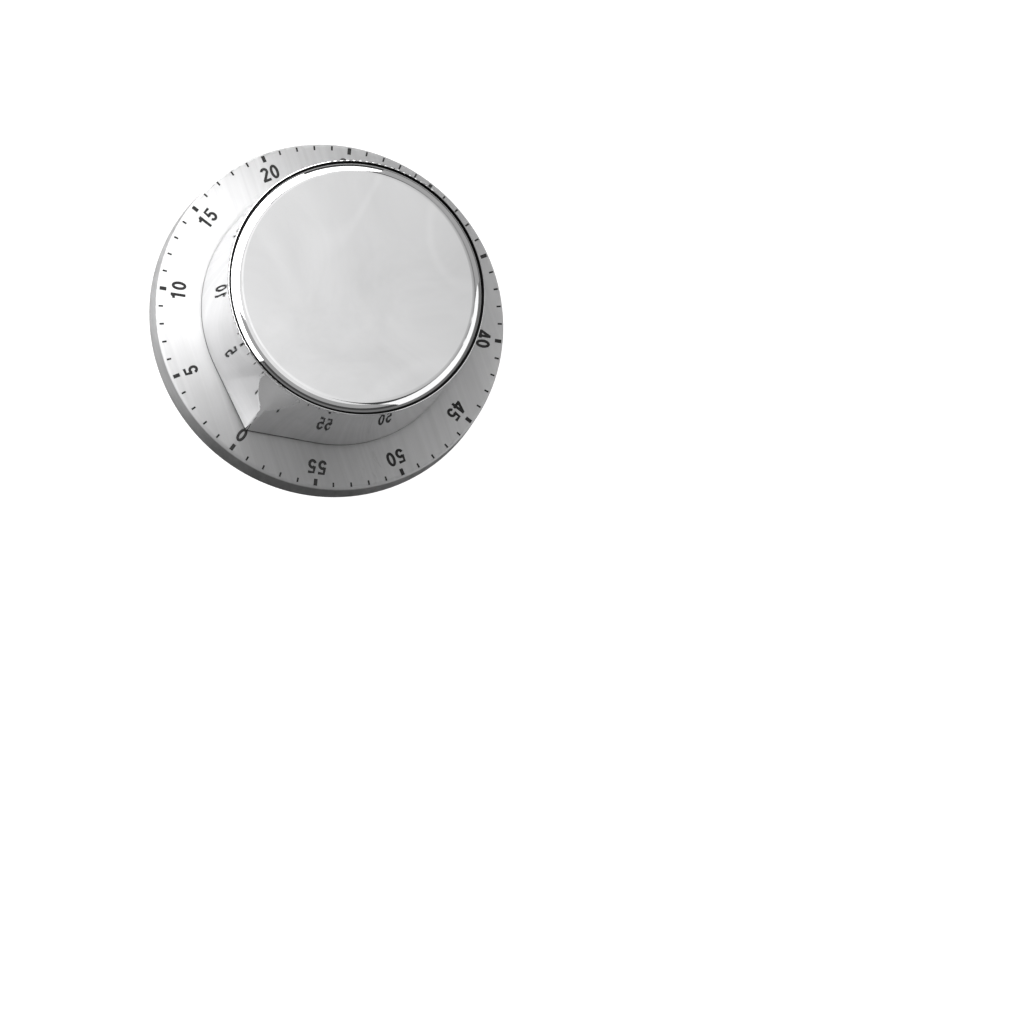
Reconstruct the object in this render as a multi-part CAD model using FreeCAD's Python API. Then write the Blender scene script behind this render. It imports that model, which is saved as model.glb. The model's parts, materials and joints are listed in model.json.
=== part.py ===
import FreeCAD, Part
import math
import os

# Mechanical 60-minute kitchen timer, in millimetres.
# The origin is the centre of the rest face. +Z runs out through the knob, +Y points at the 0 mark.
# The knob is wound clockwise, which is a negative turn about +Z.

os.makedirs("parts", exist_ok=True)

# Dial and base
dialRadius = 40.0
skirtFlare = 0.5
dialTop = 7.2
dialSheet = 0.6
dialEdgeRound = 0.9
skirtLift = 0.95
hemWidth = 1.2
hemThickness = 0.5

# Back of the base
coverLift = 0.8
coverThickness = 1.6
coverGap = 0.3
footRingWidth = 3.0
footRingInset = 3.0
footRingSeat = 0.7
magnetInset = 8.8
magnetHeight = 2.0
magnetLift = 0.25
magnetHole = 3.0
magnetPlateHeight = 0.7
pocketGap = 0.15
pocketWall = 0.6

# Base frame
frameWall = 1.2
floorThickness = 1.2
frameRibCount = 12
seatRingWidth = 1.2
padHeight = 0.4
padRadius = 2.2
bossRadius = 2.2
seatGap = 0.15

# Screws
screwCount = 3
screwShank = 0.8
screwHead = 1.5
screwHeadHeight = 0.7
screwGap = 0.1
screwSlotWidth = 0.45
screwSlotDepth = 0.28
coverScrewAngle = 30.0
canScrewAngle = 90.0
plateScrewAngle = 2.0
plateScrewInset = 3.2
threadDepth = 1.0

# Knob
knobRimRadius = 28.3
knobFlare = 1.3
noseReach = 3.9
noseTipRadius = 0.7
noseWall = 1.8
frontAngle = 90.0
backAngle = 270.0
knobFootGap = 0.4
knobWall = 1.2
rimLip = 0.6
rimRound = 0.25
facetHalfAngle = 9.4
ridgeHalfAngle = 1.2
foldShare = 0.27
grooveWidth = 0.35
rimLand = 0.3
capSeatDepth = 0.9
capLedge = 1.7
capLedgeHeight = 0.8
capRise = 1.05
capShoulder = 2.5
capShoulderLift = 0.25
capSheet = 0.8
hubWeb = 1.2
hubWebGap = 0.4
hubBossRadius = 4.2
hubBossLength = 2.4
hubRibCount = 6
hubRibWidth = 1.0
hubRibDepth = 1.2
knobToCanGap = 0.4
clipThickness = 0.3
clipWidth = 2.0
flatDepth = 0.4

# Movement can
canWall = 1.0
canFlangeWidth = 3.5
canFlangeHeight = 1.0
canTopThickness = 0.9
canHoleGap = 0.7

# One-turn stop
stopRadius = 21.0
stopPinRadius = 0.5
stopPinRise = 1.2
stopRibWidth = 0.9
stopRibReach = 1.5
knobTravel = 354.0
stopAngle = 200.0

# Plates and pillars
plateRadius = 24.0
plateThickness = 1.0
plateGap = 10.8
modulesAcross = 60.0
pillarRadius = 0.9
pillarStud = 0.55
pillarInset = 1.7
pillarAngles = (156.0, 226.0, 325.0, 65.0)
nutHeight = 0.8
nutRadius = 1.2
runningGap = 0.05
pivotRadius = 0.4
arborRadius = 0.7

# Main arbor
mainCore = 3.0
mainRadius = 2.0
mainPivot = 1.5
bushWall = 1.0
bushProud = 0.15
retainerThickness = 0.25
retainerRadius = 2.6
arborTail = 0.15
layerGap = 0.3

# Mainspring and its stud
springWidth = 4.0
springGap = 0.4
springStrip = 0.35
springTurns = 7
springStudRadius = 0.7
springStudAngle = 0.0

# Time train: teeth, modules and the directions from one arbor to the next
mainTeeth = 60
secondTeeth = 56
thirdTeeth = 54
pinionTeeth = 8
mainWheelHeight = 0.8
wheelHeight = 0.6
pinionOverhang = 0.2
directionSecond = 180.0
directionThird = 65.4
directionEscape = 24.0
pressureAngle = 20.0
wheelAddendum = 0.62
wheelDedendum = 1.2
pinionAddendum = 0.75
pinionDedendum = 1.15
wheelToothShare = 0.40
pinionToothShare = 0.34
freedTeeth = 2
windowShare = 0.24
windowPlace = 0.62
windowCount = 5
collarRadius = 1.5

# Winding ratchet on the second arbor
ratchetTeeth = 12
ratchetRadius = 2.3
ratchetDepth = 0.5
ratchetHeight = 0.4
clickReach = 5.2
clickWidth = 0.5
clickBendTeeth = 3.0
clickFootTeeth = 4.5

# Escapement
escapeTeeth = 15
escapeDepth = 1.5
escapeToothTip = 0.25
escapeToothRoot = 0.75
spannedPitches = 3.5
palletPinRadius = 0.22
palletPinGap = 0.1
palletPhase = 0.25
directionPallet = -14.0
directionBalance = -31.2
leverThickness = 0.4
leverArmWidth = 1.0
leverHubRadius = 1.3
leverLift = 0.3

# Balance
crankRadius = 1.2
crankPinRadius = 0.22
crankSlotGap = 0.1
crankTineWidth = 0.5
crankDiscRadius = 1.7
crankDiscHeight = 0.25
balanceRim = 1.2
balanceHeight = 0.9
spokeWidth = 0.8
staffRadius = 0.55
hairOuter = 3.0
hairStrip = 0.1
hairTurns = 6
hairWidth = 0.5
hairLift = 0.25
hairStudRadius = 0.4

# Strike train
strikeTeeth = 48
directionStrike = 270.0
directionStar = 15.6
starTeeth = 12
starDepth = 1.4
starHeight = 0.7
starToothTip = 0.2
starToothRoot = 1.0

# Hammer
hammerAngle = 345.0
hammerSwing = 5.0
hammerArbor = 0.8
fingerGap = 0.15
fingerWidth = 1.0
fingerHeight = 0.6
fingerTooth = 1.6
fingerEdge = 0.1
tailWidth = 1.2
tailHeight = 0.8
tailGap = 0.1
noseWidth = 0.8
noseLength = 2.0
armWidth = 1.2
armHeight = 0.8
hammerHubRadius = 1.6
headRadius = 1.6
headHeight = 3.2
headAngle = 30.0
headHitGap = 0.12
hammerSpringRadius = 1.5
hammerSpringWire = 0.25
hammerSpringPitch = 0.625
hammerSpringTurns = 5

# Release cam
camRadius = 6.0
camHeight = 0.8
camHub = 2.6
camLift = 0.4
camNotchDepth = 2.0
camNotchBefore = 21.0
camNotchAfter = 20.0

# Bell and its bracket
bracketLift = 0.4
bracketSheet = 0.6
bracketFoot = 3.2
bracketWidth = 7.0
bracketAngle = 100.0
rivetRadius = 0.7
rivetHead = 0.4
bellWall = 0.9
bellHeight = 4.2
bellRound = 2.0
bellLift = 0.3
bellPostWall = 0.7
bellShoulder = 0.8
bellNutHeight = 0.7
bellNutRadius = 3.6
bellTopGap = 0.3

# Heights, from the rest face up
coverTop = coverLift + coverThickness
pocketRoof = magnetLift + magnetHeight + magnetPlateHeight
pocketTop = pocketRoof + pocketWall
floorBottom = max(coverTop, pocketTop) + 0.5 * padHeight
floorTop = floorBottom + floorThickness
plateBottom = floorTop + padHeight
plateTop = plateBottom + plateThickness
springBottom = plateTop + springGap
mainWheelBottom = springBottom + springWidth + layerGap
strikeDriveBottom = mainWheelBottom + mainWheelHeight + layerGap
secondBottom = strikeDriveBottom + mainWheelHeight + layerGap
ratchetBottom = secondBottom + wheelHeight
thirdBottom = ratchetBottom + ratchetHeight + layerGap
escapeBottom = thirdBottom + starHeight + layerGap
leverBottom = escapeBottom + wheelHeight + leverLift
topPlateBottom = max(plateTop + plateGap, leverBottom + leverThickness + layerGap)
topPlateTop = topPlateBottom + plateThickness
camBottom = topPlateTop + camLift
bracketBottom = camBottom + camHeight + bracketLift
bracketTop = bracketBottom + bracketSheet
bellBottom = bracketTop + bellLift
bellTop = bellBottom + bellHeight
bellNutTop = bellTop + bellNutHeight
canUnder = bellNutTop + bellTopGap
canTop = canUnder + canTopThickness
bossBottom = canTop + knobToCanGap
webBottom = bossBottom + hubBossLength
webTop = webBottom + hubWeb
ledgeTop = webTop + capLedgeHeight
rimTop = ledgeTop + capSeatDepth
capTop = rimTop + capRise
footBottom = dialTop + knobFootGap
crankTop = leverBottom - layerGap
crankBottom = crankTop - crankDiscHeight
hairTop = crankBottom - hairLift
hairBottom = hairTop - hairWidth
balanceBottom = hairBottom - hairLift - balanceHeight

# The movement grows with its plates: one train unit is the main wheel's module
trainUnit = plateRadius / modulesAcross
mainModule = trainUnit
secondModule = 0.875 * trainUnit
strikeModule = 0.875 * trainUnit
thirdModule = 0.75 * trainUnit
springOuter = 28.0 * trainUnit
escapeRadius = 13.75 * trainUnit
balanceDistance = 18.0 * trainUnit
balanceRadius = 15.0 * trainUnit
starRadius = 11.25 * trainUnit
hammerCircle = 48.0 * trainUnit
bellRadius = 37.5 * trainUnit
bracketReach = 27.5 * trainUnit
pillarCircle = plateRadius - pillarInset
magnetRadius = plateRadius - magnetInset

# Radii that follow from the sizes above
dialTopRadius = dialRadius - skirtFlare
shellInner = dialRadius - dialSheet
frameOuter = dialTopRadius - dialSheet - seatGap
frameInner = frameOuter - frameWall
coverRadius = frameInner - coverGap
canInner = plateRadius + canWall
canOuter = canInner + canWall
canFlange = canOuter + canFlangeWidth
seatRing = canFlange + seatGap
dialHole = canOuter + canWall
footRingOuter = coverRadius - footRingInset
capRadius = knobRimRadius - rimLand - grooveWidth
knobFootRadius = knobRimRadius + knobFlare
noseTip = knobFootRadius + noseReach

# Arbor places
fullTurn = 360.0
mainDistance = 0.5 * (mainTeeth + pinionTeeth) * mainModule
thirdDistance = 0.5 * (secondTeeth + pinionTeeth) * secondModule
escapeDistance = 0.5 * (thirdTeeth + pinionTeeth) * thirdModule
starDistance = 0.5 * (strikeTeeth + pinionTeeth) * strikeModule
escapePitch = fullTurn / escapeTeeth
palletHalfAngle = 0.5 * spannedPitches * escapePitch
palletPinCircle = escapeRadius + palletPinRadius + palletPinGap
palletDistance = palletPinCircle / math.cos(math.radians(palletHalfAngle))


def polar(radius, angle, centre=(0.0, 0.0)):
    turn = math.radians(angle)
    return (centre[0] + radius * math.cos(turn), centre[1] + radius * math.sin(turn))


def angleOf(start, end):
    return math.degrees(math.atan2(end[1] - start[1], end[0] - start[0]))


def distanceOf(start, end):
    return math.hypot(end[0] - start[0], end[1] - start[1])


mainPlace = (0.0, 0.0)
secondPlace = polar(mainDistance, directionSecond)
thirdPlace = polar(thirdDistance, directionThird, secondPlace)
escapePlace = polar(escapeDistance, directionEscape, thirdPlace)
palletPlace = polar(palletDistance, directionPallet, escapePlace)
balancePlace = polar(balanceDistance, directionBalance, palletPlace)
strikePlace = polar(mainDistance, directionStrike)
starPlace = polar(starDistance, directionStar, strikePlace)
hammerPlace = polar(hammerCircle, hammerAngle)


def vector(point, height):
    return FreeCAD.Vector(point[0], point[1], height)


def disc(radius, low, high, place=(0.0, 0.0)):
    return Part.makeCylinder(radius, high - low, vector(place, low))


def tube(outer, inner, low, high, place=(0.0, 0.0)):
    return disc(outer, low, high, place).cut(disc(inner, low, high, place))


def prism(points, low, high):
    corners = [vector(p, low) for p in points]
    face = Part.Face(Part.makePolygon(corners + corners[:1]))
    return face.extrude(FreeCAD.Vector(0, 0, high - low))


def bar(start, end, width, low, high):
    across = math.radians(angleOf(start, end) + 90.0)
    dx = 0.5 * width * math.cos(across)
    dy = 0.5 * width * math.sin(across)
    corners = [
        (start[0] + dx, start[1] + dy),
        (start[0] - dx, start[1] - dy),
        (end[0] - dx, end[1] - dy),
        (end[0] + dx, end[1] + dy),
    ]
    return prism(corners, low, high)


def turned(profile):
    """A solid of revolution about Z from (radius, height) corners, or arcs given as three points."""
    edges = []
    for piece in profile:
        ends = [FreeCAD.Vector(r, 0, z) for r, z in piece]
        if len(ends) == 3:
            edges.append(Part.Arc(*ends).toShape())
        else:
            edges.append(Part.LineSegment(*ends).toShape())
    face = Part.Face(Part.Wire(edges))
    return face.revolve(FreeCAD.Vector(0, 0, 0), FreeCAD.Vector(0, 0, 1), fullTurn)


def around(count, radius, first):
    return [polar(radius, first + k * fullTurn / count) for k in range(count)]


def hexNut(radius, bore, low, high, place=(0.0, 0.0)):
    sides = 6
    corners = [polar(radius, k * fullTurn / sides, place) for k in range(sides)]
    return prism(corners, low, high).cut(disc(bore, low, high, place))


def save(name, shape):
    shape.exportStep("parts/" + name + ".step")
    print(name, len(shape.Solids), "solids", round(shape.Volume, 3), "mm3", shape.isValid())


# Gears


def involute(angle):
    return math.tan(angle) - angle


def toothHalfAngle(radius, pitchRadius, halfThickness):
    pressure = math.radians(pressureAngle)
    base = pitchRadius * math.cos(pressure)
    rolled = math.acos(base / max(radius, base))
    return halfThickness / pitchRadius + involute(pressure) - involute(rolled)


def gearOutline(teeth, module, addendum, dedendum, share, phase, missing=()):
    pitchRadius = 0.5 * teeth * module
    halfThickness = 0.5 * share * math.pi * module
    root = pitchRadius - dedendum * module
    tip = pitchRadius + addendum * module
    steps = 4
    low = max(root, pitchRadius * math.cos(math.radians(pressureAngle)))
    flank = [low + (tip - low) * k / steps for k in range(steps + 1)]
    radii = [root] + [r for r in flank if r > root]
    points = []
    for tooth in range(teeth):
        centre = phase + tooth * fullTurn / teeth
        kept = radii[:1] if tooth in missing else radii
        spread = [(r, math.degrees(toothHalfAngle(r, pitchRadius, halfThickness))) for r in kept]
        points += [polar(r, centre - half) for r, half in spread]
        points += [polar(r, centre + half) for r, half in reversed(spread)]
    return points


def moved(points, place):
    return [(x + place[0], y + place[1]) for x, y in points]


def meshPhase(driverTeeth, driverPhase, driverPlace, drivenTeeth, drivenPlace):
    """The angle of a driven tooth that puts its gap against the driver's tooth on the line of centres."""
    line = angleOf(driverPlace, drivenPlace)
    offset = driverPhase - line
    return line + 180.0 - offset * driverTeeth / drivenTeeth + 0.5 * fullTurn / drivenTeeth


def wheel(teeth, module, place, low, high, phase, bore, missing=()):
    points = gearOutline(teeth, module, wheelAddendum, wheelDedendum, wheelToothShare, phase, missing)
    body = prism(moved(points, place), low, high).cut(disc(bore, low, high, place))
    pitchRadius = 0.5 * teeth * module
    for k in range(windowCount):
        spot = polar(windowPlace * pitchRadius, k * fullTurn / windowCount, place)
        body = body.cut(disc(windowShare * pitchRadius, low, high, spot))
    return body


def pinion(module, place, low, high, phase):
    points = gearOutline(pinionTeeth, module, pinionAddendum, pinionDedendum, pinionToothShare, phase)
    return prism(moved(points, place), low, high)


def starOutline(teeth, tip, depth, tipWidth, rootWidth, phase):
    root = tip - depth
    halfTip = math.degrees(0.5 * tipWidth / tip)
    halfRoot = math.degrees(0.5 * rootWidth / root)
    points = []
    for tooth in range(teeth):
        centre = phase + tooth * fullTurn / teeth
        points.append(polar(root, centre - halfRoot))
        points.append(polar(tip, centre - halfTip))
        points.append(polar(tip, centre + halfTip))
        points.append(polar(root, centre + halfRoot))
    return points


def pivotedArbor(place, radius, low=plateBottom, high=topPlateTop):
    body = disc(radius, plateTop + 0.5 * layerGap, topPlateBottom - 0.5 * layerGap, place)
    return body.fuse(disc(pivotRadius, low, high, place))


mainPhase = 90.0
strikeDrivePhase = 90.0
secondPinionPhase = meshPhase(mainTeeth, mainPhase, mainPlace, pinionTeeth, secondPlace)
secondPhase = secondPinionPhase
thirdPinionPhase = meshPhase(secondTeeth, secondPhase, secondPlace, pinionTeeth, thirdPlace)
thirdPhase = thirdPinionPhase
escapePinionPhase = meshPhase(thirdTeeth, thirdPhase, thirdPlace, pinionTeeth, escapePlace)
strikePinionPhase = meshPhase(mainTeeth, strikeDrivePhase, mainPlace, pinionTeeth, strikePlace)
strikePhase = strikePinionPhase
starPinionPhase = meshPhase(strikeTeeth, strikePhase, strikePlace, pinionTeeth, starPlace)


# Base and back


def dialShell():
    top = dialTop
    edge = dialEdgeRound
    half = math.sqrt(0.5)
    outerMid = (dialTopRadius - edge + edge * half, top - edge + edge * half)
    inEdge = edge - dialSheet
    innerMid = (dialTopRadius - edge + inEdge * half, top - edge + inEdge * half)
    hemTop = skirtLift + hemThickness
    hemInner = shellInner - hemWidth
    profile = [
        ((dialHole, top), (dialTopRadius - edge, top)),
        ((dialTopRadius - edge, top), outerMid, (dialTopRadius, top - edge)),
        ((dialTopRadius, top - edge), (dialRadius, skirtLift)),
        ((dialRadius, skirtLift), (hemInner, skirtLift)),
        ((hemInner, skirtLift), (hemInner, hemTop)),
        ((hemInner, hemTop), (shellInner, hemTop)),
        ((shellInner, hemTop), (dialTopRadius - dialSheet, top - edge)),
        ((dialTopRadius - dialSheet, top - edge), innerMid, (dialTopRadius - edge, top - dialSheet)),
        ((dialTopRadius - edge, top - dialSheet), (dialHole, top - dialSheet)),
        ((dialHole, top - dialSheet), (dialHole, top)),
    ]
    return turned(profile)


def screwSpots(angle, radius):
    return around(screwCount, radius, angle)


headSeat = floorBottom + 0.5 * screwHeadHeight
coverScrewCircle = canOuter + 0.5
canScrewCircle = canOuter + 0.5 * canFlangeWidth
plateScrewCircle = plateRadius - plateScrewInset


def baseFrame():
    under = dialTop - dialSheet
    wallLow = skirtLift + hemThickness + seatGap
    body = disc(frameOuter, floorBottom, floorTop)
    body = body.fuse(tube(frameOuter, frameInner, wallLow, under - dialEdgeRound))
    body = body.fuse(tube(frameOuter - dialEdgeRound, frameInner, floorTop, under))
    body = body.fuse(tube(seatRing + seatRingWidth, seatRing, floorTop, under))
    for k in range(frameRibCount):
        turn = k * fullTurn / frameRibCount
        start = polar(seatRing + 0.5 * seatRingWidth, turn)
        end = polar(frameInner + 0.5 * frameWall, turn)
        body = body.fuse(bar(start, end, frameWall, floorTop, under))
    for spot in screwSpots(coverScrewAngle, coverScrewCircle):
        body = body.fuse(disc(bossRadius, coverTop, floorBottom, spot))
        body = body.cut(disc(screwShank, coverTop, floorTop, spot))
    for spot in screwSpots(plateScrewAngle, plateScrewCircle):
        body = body.fuse(disc(padRadius, floorTop, plateBottom, spot))
        body = body.cut(disc(screwShank + screwGap, floorBottom, plateBottom, spot))
        body = body.cut(disc(screwHead + screwGap, floorBottom, headSeat, spot))
    for spot in screwSpots(canScrewAngle, canScrewCircle):
        body = body.cut(disc(screwShank + screwGap, floorBottom, floorTop, spot))
        body = body.cut(disc(screwHead + screwGap, floorBottom, headSeat, spot))
    return body.cut(disc(retainerRadius + bushWall, floorBottom, floorTop))


def backCover():
    body = disc(coverRadius, coverLift, coverTop)
    body = body.fuse(disc(magnetRadius + pocketGap + pocketWall, coverLift, pocketTop))
    body = body.cut(disc(magnetRadius + pocketGap, coverLift, pocketRoof))
    footRingInner = footRingOuter - footRingWidth
    body = body.cut(tube(footRingOuter, footRingInner, coverLift, coverLift + footRingSeat))
    for spot in screwSpots(coverScrewAngle, coverScrewCircle):
        body = body.cut(disc(screwShank + screwGap, coverLift, coverTop, spot))
        sunk = coverLift + screwHeadHeight + screwGap
        body = body.cut(disc(screwHead + screwGap, coverLift, sunk, spot))
    return body


def screwsUp(spots, headLow, tip):
    shapes = []
    for spot in spots:
        head = disc(screwHead, headLow, headLow + screwHeadHeight, spot)
        slot = bar(polar(screwHead, 0.0, spot), polar(screwHead, 180.0, spot), screwSlotWidth, headLow,
                   headLow + screwSlotDepth)
        shank = disc(screwShank, headLow + screwHeadHeight, tip, spot)
        shapes.append(head.cut(slot).fuse(shank))
    return Part.makeCompound(shapes)


def footRing():
    outer = footRingOuter
    inner = footRingOuter - footRingWidth
    return tube(outer, inner, 0.0, coverLift + footRingSeat)


def magnet():
    return tube(magnetRadius, magnetHole, magnetLift, magnetLift + magnetHeight)


def magnetPlate():
    return disc(magnetRadius, magnetLift + magnetHeight, pocketRoof)


def movementCan():
    body = tube(canOuter, canInner, floorTop, canTop)
    body = body.fuse(tube(canFlange, canInner, floorTop, floorTop + canFlangeHeight))
    body = body.fuse(disc(canOuter, canUnder, canTop))
    body = body.cut(disc(mainPivot + canHoleGap, canUnder, canTop))
    for spot in screwSpots(canScrewAngle, canScrewCircle):
        body = body.cut(disc(screwShank, floorTop, floorTop + canFlangeHeight, spot))
    return body.cut(disc(stopPinRadius, canUnder, canTop, polar(stopRadius, stopAngle)))


def stopPin():
    return disc(stopPinRadius, canUnder, canTop + stopPinRise, polar(stopRadius, stopAngle))


# Plates and what they carry


arborPlaces = [secondPlace, thirdPlace, escapePlace, palletPlace, balancePlace, strikePlace, starPlace]
pillarPlaces = [polar(pillarCircle, angle) for angle in pillarAngles]
springStudPlace = polar(springOuter + springStrip + springStudRadius, springStudAngle)
hairStudAngle = angleOf(mainPlace, balancePlace)
hairStudPlace = polar(hairOuter + hairStrip + hairStudRadius, hairStudAngle, balancePlace)
bushOuter = mainPivot + runningGap + bushWall
bracketFeet = [
    polar(bracketReach + 0.5 * bracketFoot, bracketAngle),
    polar(bracketReach + 0.5 * bracketFoot, bracketAngle + 180.0),
]


def drilled(plate, low, high):
    for place in arborPlaces:
        plate = plate.cut(disc(pivotRadius + runningGap, low, high, place))
    for place in pillarPlaces:
        plate = plate.cut(disc(pillarStud, low, high, place))
    return plate.cut(disc(bushOuter, low, high))


def bottomPlate():
    plate = drilled(disc(plateRadius, plateBottom, plateTop), plateBottom, plateTop)
    plate = plate.cut(disc(pivotRadius + runningGap, plateBottom, plateTop, hammerPlace))
    plate = plate.cut(disc(springStudRadius, plateBottom, plateTop, springStudPlace))
    for spot in screwSpots(plateScrewAngle, plateScrewCircle):
        plate = plate.cut(disc(screwShank, plateBottom, plateTop, spot))
    return plate


def topPlate():
    plate = drilled(disc(plateRadius, topPlateBottom, topPlateTop), topPlateBottom, topPlateTop)
    plate = plate.cut(disc(hammerArbor + runningGap, topPlateBottom, topPlateTop, hammerPlace))
    plate = plate.cut(disc(hairStudRadius, topPlateBottom, topPlateTop, hairStudPlace))
    for foot in bracketFeet:
        plate = plate.cut(disc(rivetRadius, topPlateBottom, topPlateTop, foot))
    return plate


def pillars():
    shapes = []
    for place in pillarPlaces:
        post = disc(pillarRadius, plateTop, topPlateBottom, place)
        shapes.append(post.fuse(disc(pillarStud, plateBottom, topPlateTop + nutHeight, place)))
    return Part.makeCompound(shapes)


def pillarNuts():
    nuts = [hexNut(nutRadius, pillarStud, topPlateTop, topPlateTop + nutHeight, p) for p in pillarPlaces]
    return Part.makeCompound(nuts)


def bushes():
    bore = mainPivot + runningGap
    lower = tube(bushOuter, bore, plateBottom, plateTop + bushProud)
    upper = tube(bushOuter, bore, topPlateBottom - bushProud, topPlateTop)
    return Part.makeCompound([lower, upper])


# Knob


def noseAngle(radius, tip, tipRadius):
    return math.degrees(math.acos((radius - tipRadius) / (tip - tipRadius)))


def arcAbout(radius, start, end, height, centre=(0.0, 0.0)):
    middle = 0.5 * (start + end)
    points = [vector(polar(radius, a, centre), height) for a in (start, middle, end)]
    return Part.Arc(*points).toShape()


def foldedLine(start, end):
    """A straight side of the nose in two edges, which meet where its front facet begins."""
    fold = start + (end - start) * foldShare
    return [Part.LineSegment(start, fold).toShape(), Part.LineSegment(fold, end).toShape()]


def noseEdges(radius, tip, tipRadius, height):
    """A round foot drawn out to a rounded point at +Y, as seven edges that close."""
    turn = noseAngle(radius, tip, tipRadius)
    centre = (0.0, tip - tipRadius)
    left = arcAbout(radius, frontAngle + turn, backAngle, height)
    right = arcAbout(radius, backAngle, frontAngle + fullTurn - turn, height)
    end = arcAbout(tipRadius, frontAngle - turn, frontAngle + turn, height, centre)
    rise = foldedLine(right.Vertexes[1].Point, end.Vertexes[0].Point)
    fall = foldedLine(left.Vertexes[0].Point, end.Vertexes[1].Point)
    back = [Part.LineSegment(e.Vertexes[1].Point, e.Vertexes[0].Point).toShape() for e in reversed(fall)]
    return [left, right, *rise, end, *back]


def ringEdges(radius, turn, height):
    """A circle in the same seven edges as the foot, with the nose's facets fanned out at the front."""
    front = frontAngle + fullTurn
    facet = facetHalfAngle
    ridge = ridgeHalfAngle
    stops = [frontAngle + turn, backAngle, front - turn, front - facet, front - ridge,
             front + ridge, front + facet, front + turn]
    return [arcAbout(radius, a, b, height) for a, b in zip(stops, stops[1:])]


def noseSolid(footRadius, tip, tipRadius, ringRadius, low, high):
    foot = noseEdges(footRadius, tip, tipRadius, low)
    ring = ringEdges(ringRadius, noseAngle(footRadius, tip, tipRadius), high)
    faces = [Part.makeRuledSurface(a, b) for a, b in zip(foot, ring)]
    faces.append(Part.Face(Part.Wire(foot)))
    faces.append(Part.Face(Part.Wire(ring)))
    shell = Part.makeShell(faces)
    shell.sewShape()
    solid = Part.Solid(shell)
    if solid.Volume < 0:
        solid.reverse()
    return solid


lipBottom = rimTop - rimLip


def knobBody():
    outer = noseSolid(knobFootRadius, noseTip, noseTipRadius, knobRimRadius, footBottom, lipBottom)
    half = rimRound * math.sqrt(0.5)
    edge = knobRimRadius - rimRound
    lip = turned([
        ((0.0, lipBottom), (knobRimRadius, lipBottom)),
        ((knobRimRadius, lipBottom), (knobRimRadius, rimTop - rimRound)),
        ((knobRimRadius, rimTop - rimRound), (edge + half, rimTop - rimRound + half), (edge, rimTop)),
        ((edge, rimTop), (0.0, rimTop)),
        ((0.0, rimTop), (0.0, lipBottom)),
    ])
    inner = noseSolid(knobFootRadius - knobWall, noseTip - noseWall, noseTipRadius,
                      knobRimRadius - knobWall, footBottom, lipBottom)
    inner = inner.common(disc(2.0 * noseTip, footBottom, webTop))
    body = outer.fuse(lip).cut(inner)
    body = body.cut(disc(capRadius + grooveWidth, ledgeTop, rimTop))
    return body.cut(disc(capRadius - capLedge, webTop, ledgeTop))


def knobCap():
    low = ledgeTop
    top = capTop
    side = rimTop - 0.5 * capSheet + capShoulderLift
    flat = capRadius - capShoulder
    drop = top - side
    bend = (capShoulder ** 2 + drop ** 2) / (2.0 * drop)
    inner = capRadius - capSheet
    innerBend = bend - capSheet

    def bendPoint(radius, angle):
        return (flat + radius * math.sin(angle), top - bend + radius * math.cos(angle))

    outerEnd = math.asin(capShoulder / bend)
    innerEnd = math.asin((capShoulder - capSheet) / innerBend)
    profile = [
        ((0.0, top), (flat, top)),
        ((flat, top), bendPoint(bend, 0.5 * outerEnd), (capRadius, side)),
        ((capRadius, side), (capRadius, low)),
        ((capRadius, low), (inner, low)),
        ((inner, low), bendPoint(innerBend, innerEnd)),
        (bendPoint(innerBend, innerEnd), bendPoint(innerBend, 0.5 * innerEnd), (flat, top - capSheet)),
        ((flat, top - capSheet), (0.0, top - capSheet)),
        ((0.0, top - capSheet), (0.0, top)),
    ]
    return turned(profile)


hubRadius = knobRimRadius - knobWall - hubWebGap
stopRibAngle = stopAngle - 0.5 * (fullTurn - knobTravel)
arborTop = webTop


def knobHub():
    body = disc(hubRadius, webBottom, webTop)
    body = body.fuse(disc(hubBossRadius, bossBottom, webBottom))
    for k in range(hubRibCount):
        turn = stopRibAngle + (k + 0.5) * fullTurn / hubRibCount
        start = polar(0.5 * hubBossRadius, turn)
        end = polar(hubRadius - hubRibWidth, turn)
        body = body.fuse(bar(start, end, hubRibWidth, webBottom - hubRibDepth, webBottom))
    stopStart = polar(stopRadius - stopRibReach, stopRibAngle)
    stopEnd = polar(stopRadius + stopRibReach, stopRibAngle)
    body = body.fuse(bar(stopStart, stopEnd, stopRibWidth, canTop + knobToCanGap, webBottom))
    body = body.cut(disc(mainPivot, bossBottom, webTop))
    pocket = Part.makeBox(clipWidth, clipThickness + flatDepth, webTop - bossBottom,
                          FreeCAD.Vector(-0.5 * clipWidth, mainPivot - flatDepth, bossBottom))
    return body.cut(pocket)


def hubClip():
    return Part.makeBox(clipWidth, clipThickness, webTop - bossBottom - layerGap,
                        FreeCAD.Vector(-0.5 * clipWidth, mainPivot - flatDepth, bossBottom))


# Main arbor


def mainArbor():
    low = plateBottom - retainerThickness - arborTail
    body = disc(mainPivot, low, arborTop)
    body = body.fuse(disc(mainCore, springBottom - 0.5 * springGap, springBottom + springWidth))
    body = body.fuse(disc(mainRadius, springBottom, topPlateBottom - bushProud - 0.5 * layerGap))
    flat = Part.makeBox(2.0 * mainPivot, mainPivot, arborTop - bossBottom,
                        FreeCAD.Vector(-mainPivot, mainPivot - flatDepth, bossBottom))
    return body.cut(flat)


def retainer():
    ring = tube(retainerRadius, mainPivot, plateBottom - retainerThickness, plateBottom)
    gap = bar((0.0, 0.0), polar(2.0 * retainerRadius, 270.0), mainPivot,
              plateBottom - retainerThickness, plateBottom)
    return ring.cut(gap)


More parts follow.
